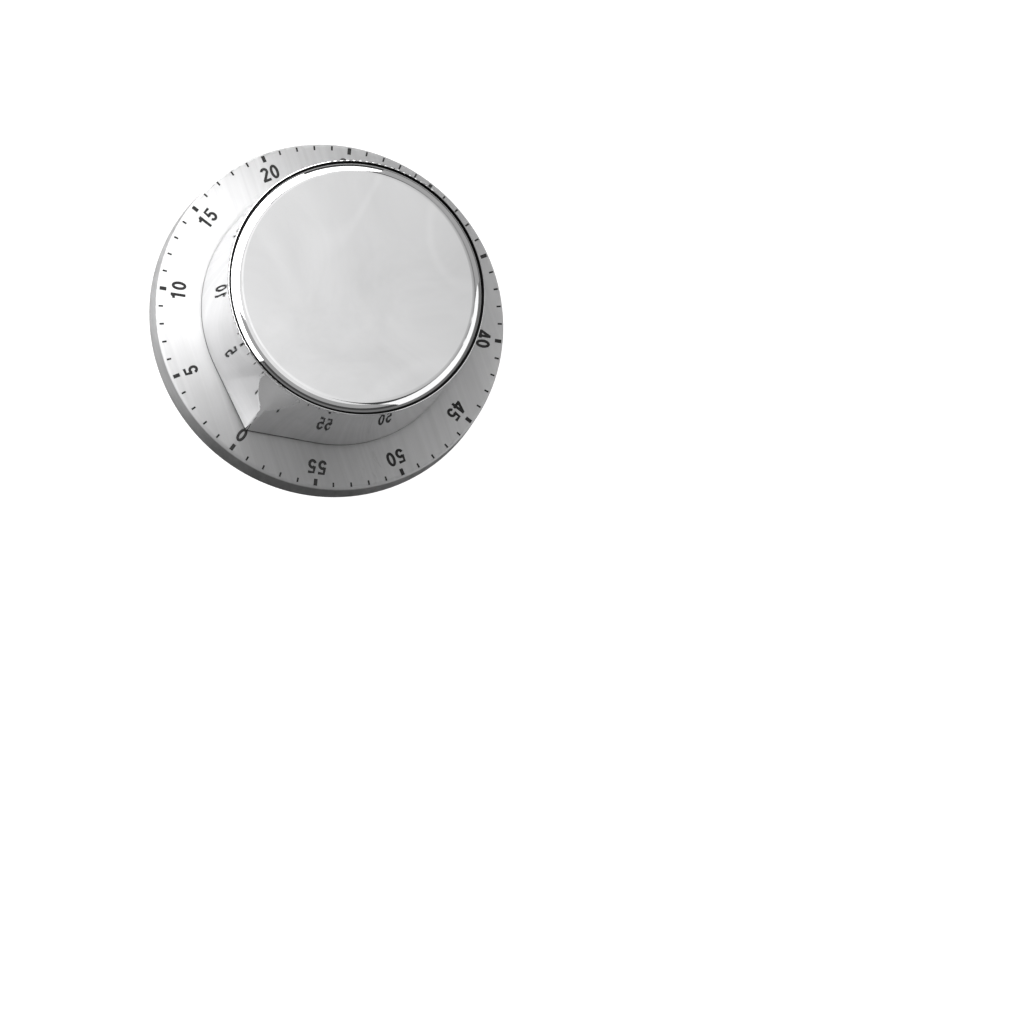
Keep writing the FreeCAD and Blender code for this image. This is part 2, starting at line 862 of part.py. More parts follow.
def mainWheel():
    freed = freedTeethAt(directionSecond)
    return wheel(mainTeeth, mainModule, mainPlace, mainWheelBottom, mainWheelBottom + mainWheelHeight,
                 mainPhase, mainRadius, freed)


def freedTeethAt(direction):
    """The teeth that are left out, so that the time train runs free as the knob comes to 0."""
    pitch = fullTurn / mainTeeth
    first = round((direction - mainPhase) / pitch)
    return tuple((first - 1 - k) % mainTeeth for k in range(freedTeeth))


def strikeDriveWheel():
    return wheel(mainTeeth, mainModule, mainPlace, strikeDriveBottom, strikeDriveBottom + mainWheelHeight,
                 strikeDrivePhase, mainRadius)


noseTurn = math.degrees(math.acos(camRadius / hammerCircle))
camNoseAngle = hammerAngle + noseTurn


def releaseCam():
    body = disc(camRadius, camBottom, camBottom + camHeight)
    body = body.fuse(disc(camHub, camBottom - 0.5 * camLift, camBottom))
    steps = 12
    low = camNoseAngle - camNotchBefore
    high = camNoseAngle + camNotchAfter
    swept = [low + (high - low) * k / steps for k in range(steps + 1)]
    outer = [polar(camRadius + camHub, a) for a in swept]
    inner = [polar(camRadius - camNotchDepth, a) for a in reversed(swept)]
    body = body.cut(prism(outer + inner, camBottom, camBottom + camHeight))
    return body.cut(disc(mainPivot, camBottom - camLift, camBottom + camHeight))


# Springs wound from strip


def spiral(place, innerRadius, outerRadius, turns, strip, low, high, start):
    """Half-turn arcs about two centres make an even spiral strip that is tangent throughout."""
    halves = 2 * turns
    growth = (outerRadius - innerRadius) / halves
    outward = []
    inward = []
    for k in range(halves):
        radius = innerRadius + k * growth + 0.5 * growth
        begin = start + 180.0 * k
        centre = polar(0.5 * growth, start if k % 2 else start + 180.0, place)
        outward.append(arcAbout(radius + strip, begin, begin + 180.0, low, centre))
        inward.append(arcAbout(radius, begin, begin + 180.0, low, centre))
    closeStart = Part.LineSegment(inward[0].Vertexes[0].Point, outward[0].Vertexes[0].Point).toShape()
    closeEnd = Part.LineSegment(inward[-1].Vertexes[1].Point, outward[-1].Vertexes[1].Point).toShape()
    wire = Part.Wire(Part.__sortEdges__([closeStart] + outward + [closeEnd] + inward))
    return Part.Face(wire).extrude(FreeCAD.Vector(0, 0, high - low))


def mainspring():
    return spiral(mainPlace, mainCore, springOuter - 0.5 * springStrip, springTurns, springStrip,
                  springBottom, springBottom + springWidth, springStudAngle)


def springStud():
    return disc(springStudRadius, plateBottom, springBottom + springWidth, springStudPlace)


def hairspring():
    return spiral(balancePlace, staffRadius, hairOuter, hairTurns, hairStrip, hairBottom, hairTop,
                  hairStudAngle)


def hairspringStud():
    return disc(hairStudRadius, hairBottom, topPlateTop, hairStudPlace)


# Time train


def secondArbor():
    leaves = pinion(mainModule, secondPlace, mainWheelBottom - pinionOverhang,
                    mainWheelBottom + mainWheelHeight + pinionOverhang, secondPinionPhase)
    return pivotedArbor(secondPlace, arborRadius).fuse(leaves)


def secondWheel():
    return wheel(secondTeeth, secondModule, secondPlace, secondBottom, secondBottom + wheelHeight,
                 secondPhase, arborRadius)


def windingRatchet():
    points = []
    for tooth in range(ratchetTeeth):
        start = tooth * fullTurn / ratchetTeeth
        points.append(polar(ratchetRadius - ratchetDepth, start, secondPlace))
        points.append(polar(ratchetRadius, start, secondPlace))
    body = prism(points, ratchetBottom, ratchetBottom + ratchetHeight)
    return body.cut(disc(arborRadius, ratchetBottom, ratchetBottom + ratchetHeight, secondPlace))


def clickSpring():
    pitch = fullTurn / ratchetTeeth
    tip = polar(ratchetRadius + 0.5 * clickWidth + runningGap, 0.5 * pitch, secondPlace)
    bend = polar(clickReach, clickBendTeeth * pitch, secondPlace)
    foot = polar(clickReach, clickFootTeeth * pitch, secondPlace)
    arm = bar(tip, bend, clickWidth, ratchetBottom, ratchetBottom + ratchetHeight)
    tail = bar(bend, foot, 2.0 * clickWidth, ratchetBottom, ratchetBottom + ratchetHeight)
    return arm.fuse(tail).fuse(disc(clickWidth, ratchetBottom, ratchetBottom + ratchetHeight, bend))


def thirdArbor():
    leaves = pinion(secondModule, thirdPlace, secondBottom - pinionOverhang,
                    secondBottom + wheelHeight + pinionOverhang, thirdPinionPhase)
    return pivotedArbor(thirdPlace, arborRadius).fuse(leaves)


def thirdWheel():
    return wheel(thirdTeeth, thirdModule, thirdPlace, thirdBottom, thirdBottom + wheelHeight,
                 thirdPhase, arborRadius)


def escapeArbor():
    leaves = pinion(thirdModule, escapePlace, thirdBottom - pinionOverhang,
                    thirdBottom + wheelHeight + pinionOverhang, escapePinionPhase)
    return pivotedArbor(escapePlace, arborRadius).fuse(leaves)


def palletPinSpots():
    line = angleOf(escapePlace, palletPlace)
    angles = (line - palletHalfAngle, line + palletHalfAngle)
    return [polar(palletPinCircle, angle, escapePlace) for angle in angles]


def escapeWheel():
    line = angleOf(escapePlace, palletPlace)
    phase = line - palletHalfAngle + (0.5 + palletPhase) * escapePitch
    points = starOutline(escapeTeeth, escapeRadius, escapeDepth, escapeToothTip, escapeToothRoot, phase)
    body = prism(moved(points, escapePlace), escapeBottom, escapeBottom + wheelHeight)
    hub = 0.5 * (escapeRadius - escapeDepth) + 0.2 * escapeDepth
    for k in range(windowCount):
        spot = polar(hub, k * fullTurn / windowCount, escapePlace)
        body = body.cut(disc(0.5 * escapeDepth, escapeBottom, escapeBottom + wheelHeight, spot))
    return body.cut(disc(arborRadius, escapeBottom, escapeBottom + wheelHeight, escapePlace))


def palletLever():
    low = leverBottom
    high = leverBottom + leverThickness
    body = disc(leverHubRadius, low, high, palletPlace)
    for spot in palletPinSpots():
        body = body.fuse(bar(palletPlace, spot, leverArmWidth, low, high))
        body = body.fuse(disc(0.5 * leverArmWidth, low, high, spot))
    slotHalf = crankPinRadius + crankSlotGap
    tailWidthAll = 2.0 * (slotHalf + crankTineWidth)
    tailEnd = polar(balanceDistance - 0.5 * crankRadius, directionBalance, palletPlace)
    body = body.fuse(bar(palletPlace, tailEnd, tailWidthAll, low, high))
    slotStart = polar(balanceDistance - 2.0 * crankRadius, directionBalance, palletPlace)
    slotEnd = polar(balanceDistance, directionBalance, palletPlace)
    body = body.cut(bar(slotStart, slotEnd, 2.0 * slotHalf, low, high))
    for spot in palletPinSpots():
        body = body.cut(disc(palletPinRadius, low, high, spot))
    return body.cut(disc(arborRadius, low, high, palletPlace))


def palletPins():
    low = escapeBottom - 0.5 * leverLift
    high = leverBottom + leverThickness
    return Part.makeCompound([disc(palletPinRadius, low, high, spot) for spot in palletPinSpots()])


def palletArbor():
    return pivotedArbor(palletPlace, arborRadius)


def balanceStaff():
    body = disc(staffRadius, plateTop + 0.5 * layerGap, crankBottom, balancePlace)
    return body.fuse(disc(pivotRadius, plateBottom, topPlateTop, balancePlace))


def balanceWheel():
    low = balanceBottom
    high = balanceBottom + balanceHeight
    body = tube(balanceRadius, balanceRadius - balanceRim, low, high, balancePlace)
    body = body.fuse(disc(collarRadius, low, high, balancePlace))
    for k in range(3):
        end = polar(balanceRadius - 0.5 * balanceRim, directionBalance + k * 120.0, balancePlace)
        body = body.fuse(bar(balancePlace, end, spokeWidth, low, high))
    return body.cut(disc(staffRadius, low, high, balancePlace))


def crankDisc():
    body = tube(crankDiscRadius, pivotRadius, crankBottom, crankTop, balancePlace)
    spot = polar(crankRadius, directionBalance + 180.0, balancePlace)
    return body.fuse(disc(crankPinRadius, crankTop, leverBottom + leverThickness, spot))


# Strike train


def strikeArbor():
    leaves = pinion(mainModule, strikePlace, strikeDriveBottom - pinionOverhang,
                    strikeDriveBottom + mainWheelHeight + 0.5 * pinionOverhang, strikePinionPhase)
    return pivotedArbor(strikePlace, arborRadius).fuse(leaves)


def strikeWheel():
    return wheel(strikeTeeth, strikeModule, strikePlace, secondBottom, secondBottom + wheelHeight,
                 strikePhase, arborRadius)


def starArbor():
    leaves = pinion(strikeModule, starPlace, secondBottom - pinionOverhang,
                    secondBottom + wheelHeight + pinionOverhang, starPinionPhase)
    return pivotedArbor(starPlace, arborRadius).fuse(leaves)


fingerTurn = math.degrees(math.acos(starRadius / distanceOf(starPlace, hammerPlace)))
fingerAngle = angleOf(starPlace, hammerPlace) + fingerTurn
fingerTip = polar(starRadius + fingerGap, fingerAngle, starPlace)


def starWheel():
    phase = fingerAngle + 0.5 * fullTurn / starTeeth
    points = starOutline(starTeeth, starRadius, starDepth, starToothTip, starToothRoot, phase)
    body = prism(moved(points, starPlace), thirdBottom, thirdBottom + starHeight)
    return body.cut(disc(arborRadius, thirdBottom, thirdBottom + starHeight, starPlace))


# Hammer


hammerTop = bellBottom + 0.5 * bellHeight + headHeight * 0.5
armBottom = bellBottom + 0.5 * (bellHeight - armHeight)


def hammerShaft():
    body = disc(hammerArbor, plateTop + 0.5 * layerGap, armBottom + armHeight, hammerPlace)
    return body.fuse(disc(pivotRadius, plateBottom, plateTop + layerGap, hammerPlace))


def hammerFinger():
    low = thirdBottom + 0.5 * (starHeight - fingerHeight)
    high = low + fingerHeight
    root = polar(fingerTooth, fingerAngle, fingerTip)
    body = disc(hammerHubRadius, low, high, hammerPlace)
    body = body.fuse(bar(hammerPlace, root, fingerWidth, low, high))
    across = fingerAngle + 90.0
    tooth = [
        polar(fingerEdge, across, fingerTip),
        polar(0.5 * fingerWidth, across, root),
        polar(0.5 * fingerWidth, across + 180.0, root),
        polar(fingerEdge, across + 180.0, fingerTip),
    ]
    body = body.fuse(prism(tooth, low, high)).fuse(disc(0.5 * fingerWidth, low, high, root))
    return body.cut(disc(hammerArbor, low, high, hammerPlace))


def hammerTail():
    low = camBottom
    high = camBottom + tailHeight
    nose = polar(camRadius + tailGap, camNoseAngle)
    root = polar(camRadius + tailGap + noseLength, camNoseAngle)
    body = disc(hammerHubRadius, low, high, hammerPlace)
    body = body.fuse(bar(hammerPlace, root, tailWidth, low, high))
    body = body.fuse(disc(0.5 * tailWidth, low, high, root)).fuse(bar(nose, root, noseWidth, low, high))
    return body.cut(disc(hammerArbor, low, high, hammerPlace))


swingReach = 2.0 * hammerCircle * math.sin(math.radians(0.5 * (fullTurn + headAngle - hammerAngle)))
headTravel = swingReach * math.radians(hammerSwing)
headPlace = polar(bellRadius + headRadius + headHitGap + headTravel, headAngle)


def hammerArm():
    low = armBottom
    high = armBottom + armHeight
    body = disc(hammerHubRadius, low, high, hammerPlace)
    body = body.fuse(bar(hammerPlace, headPlace, armWidth, low, high))
    return body.cut(disc(hammerArbor, low, high, hammerPlace)).cut(disc(headRadius, low, high, headPlace))


def hammerHead():
    return disc(headRadius, hammerTop - headHeight, hammerTop, headPlace)


def hammerSpring():
    low = springBottom
    pitch = hammerSpringPitch
    path = Part.makeHelix(pitch, pitch * hammerSpringTurns, hammerSpringRadius)
    start = FreeCAD.Vector(hammerSpringRadius, 0, 0)
    section = Part.Wire(Part.makeCircle(hammerSpringWire, start, FreeCAD.Vector(0, 1, 0)))
    coil = Part.Wire(path.Edges).makePipeShell([section], True, True)
    coil.translate(vector(hammerPlace, low + hammerSpringWire))
    return coil


# Bell


def bellBracket():
    along = bracketAngle
    reach = bracketReach
    ends = [polar(reach, along), polar(reach, along + 180.0)]
    body = bar(ends[0], ends[1], bracketWidth, bracketBottom, bracketTop)
    for turn in (along, along + 180.0):
        inner = polar(reach - bracketSheet, turn)
        outer = polar(reach + bracketFoot, turn)
        body = body.fuse(bar(inner, polar(reach, turn), bracketWidth, topPlateTop, bracketTop))
        body = body.fuse(bar(inner, outer, bracketWidth, topPlateTop, topPlateTop + bracketSheet))
    for foot in bracketFeet:
        body = body.cut(disc(rivetRadius, topPlateTop, topPlateTop + bracketSheet, foot))
    return body.cut(disc(bellPostOuter, bracketBottom, bracketTop))


def bracketRivets():
    shapes = []
    for foot in bracketFeet:
        seat = topPlateTop + bracketSheet
        head = disc(2.0 * rivetRadius, seat, seat + rivetHead, foot)
        shapes.append(head.fuse(disc(rivetRadius, topPlateBottom, seat, foot)))
    return Part.makeCompound(shapes)


bellPostBore = mainPivot + canHoleGap * 0.5
bellPostOuter = bellPostBore + bellPostWall


def bellPost():
    body = tube(bellPostOuter, bellPostBore, bracketBottom, bellNutTop)
    return body.fuse(tube(bellPostOuter + bellShoulder, bellPostBore, bracketTop, bellTop - bellWall))


def bell():
    half = math.sqrt(0.5)
    outer = bellRadius - bellRound
    innerRound = bellRound - bellWall
    edge = bellTop - bellRound
    profile = [
        ((bellPostOuter, bellTop), (outer, bellTop)),
        ((outer, bellTop), (outer + bellRound * half, edge + bellRound * half), (bellRadius, edge)),
        ((bellRadius, edge), (bellRadius, bellBottom)),
        ((bellRadius, bellBottom), (bellRadius - bellWall, bellBottom)),
        ((bellRadius - bellWall, bellBottom), (bellRadius - bellWall, edge)),
        ((bellRadius - bellWall, edge), (outer + innerRound * half, edge + innerRound * half),
         (outer, bellTop - bellWall)),
        ((outer, bellTop - bellWall), (bellPostOuter, bellTop - bellWall)),
        ((bellPostOuter, bellTop - bellWall), (bellPostOuter, bellTop)),
    ]
    return turned(profile)


def bellNut():
    return hexNut(bellNutRadius, bellPostOuter, bellTop, bellNutTop)


save("dial_shell", dialShell())
save("base_frame", baseFrame())
save("back_cover", backCover())
save("cover_screws", screwsUp(screwSpots(coverScrewAngle, coverScrewCircle), coverLift + screwGap,
                              floorBottom + threadDepth))
save("foot_ring", footRing())
save("magnet", magnet())
save("magnet_plate", magnetPlate())
save("movement_can", movementCan())
save("can_screws", screwsUp(screwSpots(canScrewAngle, canScrewCircle),
                            headSeat - screwHeadHeight,
                            floorTop + canFlangeHeight))
save("stop_pin", stopPin())
save("bottom_plate", bottomPlate())
save("plate_screws", screwsUp(screwSpots(plateScrewAngle, plateScrewCircle),
                              headSeat - screwHeadHeight,
                              plateTop))
save("top_plate", topPlate())
save("plate_pillars", pillars())
save("pillar_nuts", pillarNuts())
save("arbor_bushes", bushes())
save("knob_body", knobBody())
save("knob_cap", knobCap())
save("knob_hub", knobHub())
save("hub_clip", hubClip())
save("main_arbor", mainArbor())
save("arbor_retainer", retainer())
save("main_wheel", mainWheel())
save("strike_drive_wheel", strikeDriveWheel())
save("release_cam", releaseCam())
save("mainspring", mainspring())
save("mainspring_stud", springStud())
save("second_arbor", secondArbor())
save("second_wheel", secondWheel())
save("winding_ratchet", windingRatchet())
save("click_spring", clickSpring())
save("third_arbor", thirdArbor())
save("third_wheel", thirdWheel())
save("escape_arbor", escapeArbor())
save("escape_wheel", escapeWheel())
save("pallet_lever", palletLever())
save("pallet_pins", palletPins())
save("pallet_arbor", palletArbor())
save("balance_staff", balanceStaff())
save("balance_wheel", balanceWheel())
save("crank_disc", crankDisc())
save("hairspring", hairspring())
save("hairspring_stud", hairspringStud())
save("strike_arbor", strikeArbor())
save("strike_wheel", strikeWheel())
save("star_arbor", starArbor())
save("star_wheel", starWheel())
save("hammer_arbor", hammerShaft())
save("hammer_finger", hammerFinger())
save("hammer_tail", hammerTail())
save("hammer_arm", hammerArm())
save("hammer_head", hammerHead())
save("hammer_spring", hammerSpring())
save("bell_bracket", bellBracket())
save("bracket_rivets", bracketRivets())
save("bell_post", bellPost())
save("bell", bell())
save("bell_nut", bellNut())
print("cap top", capTop, "rim top", rimTop, "dial top", dialTop)
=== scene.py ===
import json
import math
import bmesh
import bpy
from mathutils import Matrix, Vector


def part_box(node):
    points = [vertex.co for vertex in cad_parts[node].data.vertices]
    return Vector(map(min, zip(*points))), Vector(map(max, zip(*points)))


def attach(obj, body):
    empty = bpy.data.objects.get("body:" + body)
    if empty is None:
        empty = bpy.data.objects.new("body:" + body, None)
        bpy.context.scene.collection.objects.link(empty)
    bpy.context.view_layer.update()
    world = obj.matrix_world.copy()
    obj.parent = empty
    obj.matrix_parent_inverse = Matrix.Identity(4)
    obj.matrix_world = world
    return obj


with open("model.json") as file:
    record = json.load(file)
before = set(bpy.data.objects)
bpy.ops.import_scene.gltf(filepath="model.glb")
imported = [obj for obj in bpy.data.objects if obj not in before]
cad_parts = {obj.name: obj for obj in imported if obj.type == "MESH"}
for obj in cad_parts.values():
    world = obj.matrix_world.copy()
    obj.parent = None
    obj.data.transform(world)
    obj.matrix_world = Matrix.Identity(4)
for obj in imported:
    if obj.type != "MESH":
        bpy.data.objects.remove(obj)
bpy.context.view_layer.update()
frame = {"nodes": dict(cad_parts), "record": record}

mm = 0.001
print("frame loaded:", len(frame["nodes"]), "parts")

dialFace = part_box("dial_shell")[1].z  # the dial's top face
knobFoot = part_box("knob_body")[0].z
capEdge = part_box("knob_cap")[1].x  # the cap's radius


class Wire:
    # one output socket of a material; sums and products on it add Math nodes
    def __init__(self, finish, socket):
        self.finish = finish
        self.socket = socket

    def maths(self, operation, first, second):
        settings = {"operation": operation}
        return self.finish.add("ShaderNodeMath", settings, {0: first, 1: second})

    def __add__(self, other):
        return self.maths("ADD", self, other)

    def __radd__(self, other):
        return self.maths("ADD", other, self)

    def __sub__(self, other):
        return self.maths("SUBTRACT", self, other)

    def __rsub__(self, other):
        return self.maths("SUBTRACT", other, self)

    def __mul__(self, other):
        return self.maths("MULTIPLY", self, other)

    def __rmul__(self, other):
        return self.maths("MULTIPLY", other, self)

    def __truediv__(self, other):
        return self.maths("DIVIDE", self, other)

    def __rtruediv__(self, other):
        return self.maths("DIVIDE", other, self)


class Finish:
    # one material, with its shader's fixed values set on the shader's own sockets
    def __init__(self, name, shader="ShaderNodeBsdfPrincipled", **fixed):
        self.material = bpy.data.materials.new(name)
        self.material.use_nodes = True
        self.tree = self.material.node_tree
        self.tree.nodes.clear()
        self.shader = self.tree.nodes.new(shader)
        self.output = self.tree.nodes.new("ShaderNodeOutputMaterial")
        self.tree.links.new(self.shader.outputs[0], self.output.inputs[0])
        for socket, value in fixed.items():
            self.shader.inputs[socket.replace("_", " ")].default_value = value

    def add(self, kind, settings=None, inputs=None, output=0):
        node = self.tree.nodes.new(kind)
        for name, value in (settings or {}).items():
            setattr(node, name, value)
        for name, value in (inputs or {}).items():
            self.feed(node.inputs[name], value)
        return Wire(self, node.outputs[output])

    def feed(self, socket, value):
        if isinstance(value, Wire):
            self.tree.links.new(value.socket, socket)
        else:
            socket.default_value = value

    def paint(self, **links):
        for socket, wire in links.items():
            self.feed(self.shader.inputs[socket.replace("_", " ")], wire)
        return self.material

    def place(self, centre=(0, 0, 0), turn=0.0, scale=(1, 1, 1)):
        # object coordinates, centred, then turned about Z, then stretched
        here = self.add("ShaderNodeTexCoord", output=3)
        moved = self.add("ShaderNodeVectorMath", {"operation": "SUBTRACT"}, {0: here, 1: centre})
        turned = self.add("ShaderNodeMapping", {}, {0: moved, 2: (0, 0, turn)})
        return self.add("ShaderNodeVectorMath", {"operation": "MULTIPLY"}, {0: turned, 1: scale})

    def noise(self, place, scale, detail=3.0, roughness=0.5, distortion=0.0):
        inputs = {"Vector": place, "Scale": scale, "Detail": detail}
        inputs["Roughness"] = roughness
        inputs["Distortion"] = distortion
        return self.add("ShaderNodeTexNoise", {}, inputs)

    def height(self):
        return self.add("ShaderNodeSeparateXYZ", {}, {0: self.place()}, 2)

    def length(self, place):
        return self.add("ShaderNodeVectorMath", {"operation": "LENGTH"}, {0: place}, 1)

    def tint(self, shade, blue=1.0):
        return self.add("ShaderNodeCombineColor", {}, {0: shade, 1: shade, 2: shade * blue})

    def size(self, wire):
        return self.add("ShaderNodeMath", {"operation": "ABSOLUTE"}, {0: wire})

    def between(self, wire, low, high):
        # a 0 to 1 value spread from low to high
        return wire * (high - low) + low

    def fade(self, wire, start, end):
        # 0 at start and 1 at end, smoothly
        inputs = {0: wire, 1: start, 2: end}
        return self.add("ShaderNodeMapRange", {"interpolation_type": "SMOOTHSTEP"}, inputs)

    def blend(self, share, first, second):
        settings = {"data_type": "RGBA"}
        return self.add("ShaderNodeMix", settings, {0: share, 6: first, 7: second}, output=2)

    def bump(self, height, distance, strength=1.0):
        inputs = {"Height": height, "Distance": distance, "Strength": strength}
        return self.add("ShaderNodeBump", {}, inputs)


def grey(value):
    return (value, value, value, 1.0)


def bearing(minute):
    return math.radians(6.0 * minute)  # clockwise from 0, as on the dial


satin = dict(
    tone=0.62, skirtShadeTone=0.22, toneSpread=0.17, edge=1.0 * mm, blue=1.005,
    roughness=0.62, roughSpread=0.06, spun=0.9, spunTurn=0.25,
    grainTurn=-35.2, grainScale=(6.0, 900.0, 300.0), bandScale=(2.0, 160.0, 60.0), grainDepth=0.004 * mm,
    cloudScale=38.0, lineShare=0.5, bandShare=0.35, cloudShare=0.4,
    rubPlace=(-26.5 * mm, 22.0 * mm, 7.2 * mm), rubTurn=0.6, rubScale=(70.0, 190.0, 1.0),
    rubStart=0.52, rubEnd=0.75, rubShare=0.35, rubRough=0.12)


def satinSteel():
    # brushed steel with straight grain, a faint stain and one rubbed patch; the skirt is painted darker
    # as shade
    finish = Finish("satinSteel", Metallic=1.0, Anisotropic=satin["spun"],
                    Anisotropic_Rotation=satin["spunTurn"])
    turn = -math.radians(satin["grainTurn"])
    lines = finish.noise(finish.place(turn=turn, scale=satin["grainScale"]), 1.0, 5.0, 0.65)
    bands = finish.noise(finish.place(turn=turn, scale=satin["bandScale"]), 1.0, 2.0)
    cloud = finish.noise(finish.place(), satin["cloudScale"], 4.0, 0.6, 0.6)
    rub = finish.place(centre=satin["rubPlace"], turn=satin["rubTurn"], scale=satin["rubScale"])
    smear = finish.fade(finish.noise(rub, 3.0, 4.0, 0.7, 1.2), satin["rubStart"], satin["rubEnd"])
    smear = smear * finish.fade(finish.length(rub), 1.0, 0.2)
    spread = (lines - 0.5) * satin["lineShare"] + (bands - 0.5) * satin["bandShare"]
    spread = spread + (cloud - 0.5) * satin["cloudShare"] - smear * satin["rubShare"]
    # painted shade: below the dial face, the skirt of the same steel takes a darker tone
    face = finish.fade(finish.height(), dialFace - satin["edge"], dialFace - 0.3 * satin["edge"])
    shade = satin["skirtShadeTone"] + face * (satin["tone"] - satin["skirtShadeTone"])
    shade = shade + spread * satin["toneSpread"] * 2.0
    rough = satin["roughness"] + spread * satin["roughSpread"] * 2.0 + smear * satin["rubRough"]
    bump = finish.bump(lines + bands * 0.5, satin["grainDepth"], 1.0)
    return finish.paint(Base_Color=finish.tint(shade, satin["blue"]), Roughness=rough, Normal=bump)


mirror = dict(
    tone=0.78, blue=1.006, cloud=0.11, cloudScale=42.0,
    roughness=0.045, roughSpread=0.03, wipeTurn=0.7, wipeScale=(1.0, 6.0, 1.0), wipeSize=60.0,
    waveDepth=0.010 * mm, waveSize=55.0,
    ripple=0.03, rippleWidth=0.035, foldPlace=(0.011, 0.004, 0.0), foldTurn=0.9,
    foldScale=(1.0, 2.2, 1.0), foldSize=13.0,
    footShadowTone=0.10, footShadowHeight=0.5 * mm, dullRough=0.4,
    grooveShadowTone=0.02, grooveShade=0.06 * mm, grooveWidth=0.39 * mm)


def mirrorSteel(name, footShadowBase=None, grooveShadowEdge=None, grooveSide=1.0):
    # polished steel with faint clouds and ripples; the foot height, when given, is where a thin band of
    # painted shadow starts on the knob's wall, and the groove edge the radius past which the groove round
    # the cap is painted dark as shade
    finish = Finish(name, Metallic=1.0)
    cloud = finish.noise(finish.place(), mirror["cloudScale"], 4.0, 0.6, 0.8)
    smooth = finish.place(turn=mirror["wipeTurn"], scale=mirror["wipeScale"])
    wipe = finish.noise(smooth, mirror["wipeSize"], 3.0, 0.5, 0.5)
    wave = finish.noise(finish.place(), mirror["waveSize"], 1.0, 0.4, 0.3)
    bent = finish.place(centre=mirror["foldPlace"], turn=mirror["foldTurn"], scale=mirror["foldScale"])
    fold = finish.noise(bent, mirror["foldSize"], 1.0, 0.4, 0.8)
    ripple = 1.0 - finish.fade(finish.size(fold - 0.5), 0.0, mirror["rippleWidth"])
    shade = mirror["tone"] + (cloud - 0.5) * mirror["cloud"] * 2.0 + ripple * mirror["ripple"]
    rough = mirror["roughness"] + (wipe - 0.5) * mirror["roughSpread"] + (cloud - 0.5) * 0.03
    # painted shadow: a thin band just above the knob's foot is darkened as the shade of the gap under it
    if footShadowBase is not None:
        footShadow = 1.0 - finish.fade(finish.height(), footShadowBase + 0.7 * mirror["footShadowHeight"],
                                 footShadowBase + 1.2 * mirror["footShadowHeight"])
        shade = shade * (1.0 - footShadow) + footShadow * mirror["footShadowTone"]
        rough = rough + footShadow * mirror["dullRough"]
    # painted shadow: the steel past the groove's edge is darkened as the shade in the groove round the
    # cap
    if grooveShadowEdge is not None:
        reach = (finish.length(finish.place(scale=(1.0, 1.0, 0.0))) - grooveShadowEdge) * grooveSide
        shadow = finish.fade(reach, -mirror["grooveShade"], 0.0)
        shade = shade * (1.0 - shadow) + shadow * mirror["grooveShadowTone"]
        rough = rough + shadow * mirror["dullRough"]
    bump = finish.bump(wave + ripple * 0.2, mirror["waveDepth"], 1.0)
    return finish.paint(Base_Color=finish.tint(shade, mirror["blue"]), Roughness=rough, Normal=bump)


inkFinish = dict(tone=0.012, toneSpread=0.02, smoothest=0.5, dullest=0.65, speckScale=2600.0,
                 shine=0.1, speckDepth=0.01 * mm)


def printInk():
    finish = Finish("printInk", Metallic=0.0, Specular_IOR_Level=inkFinish["shine"])
    speck = finish.noise(finish.place(), inkFinish["speckScale"], 3.0, 0.6)
    shade = inkFinish["tone"] + speck * inkFinish["toneSpread"]
    rough = finish.between(speck, inkFinish["smoothest"], inkFinish["dullest"])
    bump = finish.bump(speck, inkFinish["speckDepth"], 0.5)
    return finish.paint(Base_Color=finish.tint(shade), Roughness=rough, Normal=bump)


def darker(colour, share):
    return tuple(c * share for c in colour[:3]) + (1.0,)


mould = dict(flowScale=40.0, flowShade=0.8)


def moulded(name, colour, low, high, grain=1400.0, depth=0.02 * mm):
    # moulded plastic or rubber, with a fine spark grain and faint flow marks
    finish = Finish(name, Metallic=0.0)
    pits = finish.noise(finish.place(), grain, 2.0, 0.6)
    flow = finish.noise(finish.place(), mould["flowScale"], 3.0, 0.5, 1.0)
    tone = finish.blend(finish.fade(flow, 0.3, 0.7), darker(colour, mould["flowShade"]), colour)
    bump = finish.bump(pits, depth, 0.6)
    return finish.paint(Base_Color=tone, Roughness=finish.between(pits, low, high), Normal=bump)


toolMarks = dict(scale=(30.0, 1500.0, 900.0), depth=0.004 * mm, stainScale=130.0, stainShade=0.78)


def machined(name, colour, low, high, turned=0.0):
    # metal of the movement: fine tool lines, a little stain
    finish = Finish(name, Metallic=1.0)
    lines = finish.noise(finish.place(turn=turned, scale=toolMarks["scale"]), 1.0, 3.0, 0.6)
    stain = finish.noise(finish.place(), toolMarks["stainScale"], 4.0, 0.6, 0.5)
    mixed = finish.fade(stain * 0.7 + lines * 0.3, 0.3, 0.7)
    tone = finish.blend(mixed, darker(colour, toolMarks["stainShade"]), colour)
    rough = finish.between(lines * 0.5 + stain * 0.5, low, high)
    bump = finish.bump(lines, toolMarks["depth"], 0.8)
    return finish.paint(Base_Color=tone, Roughness=rough, Normal=bump)


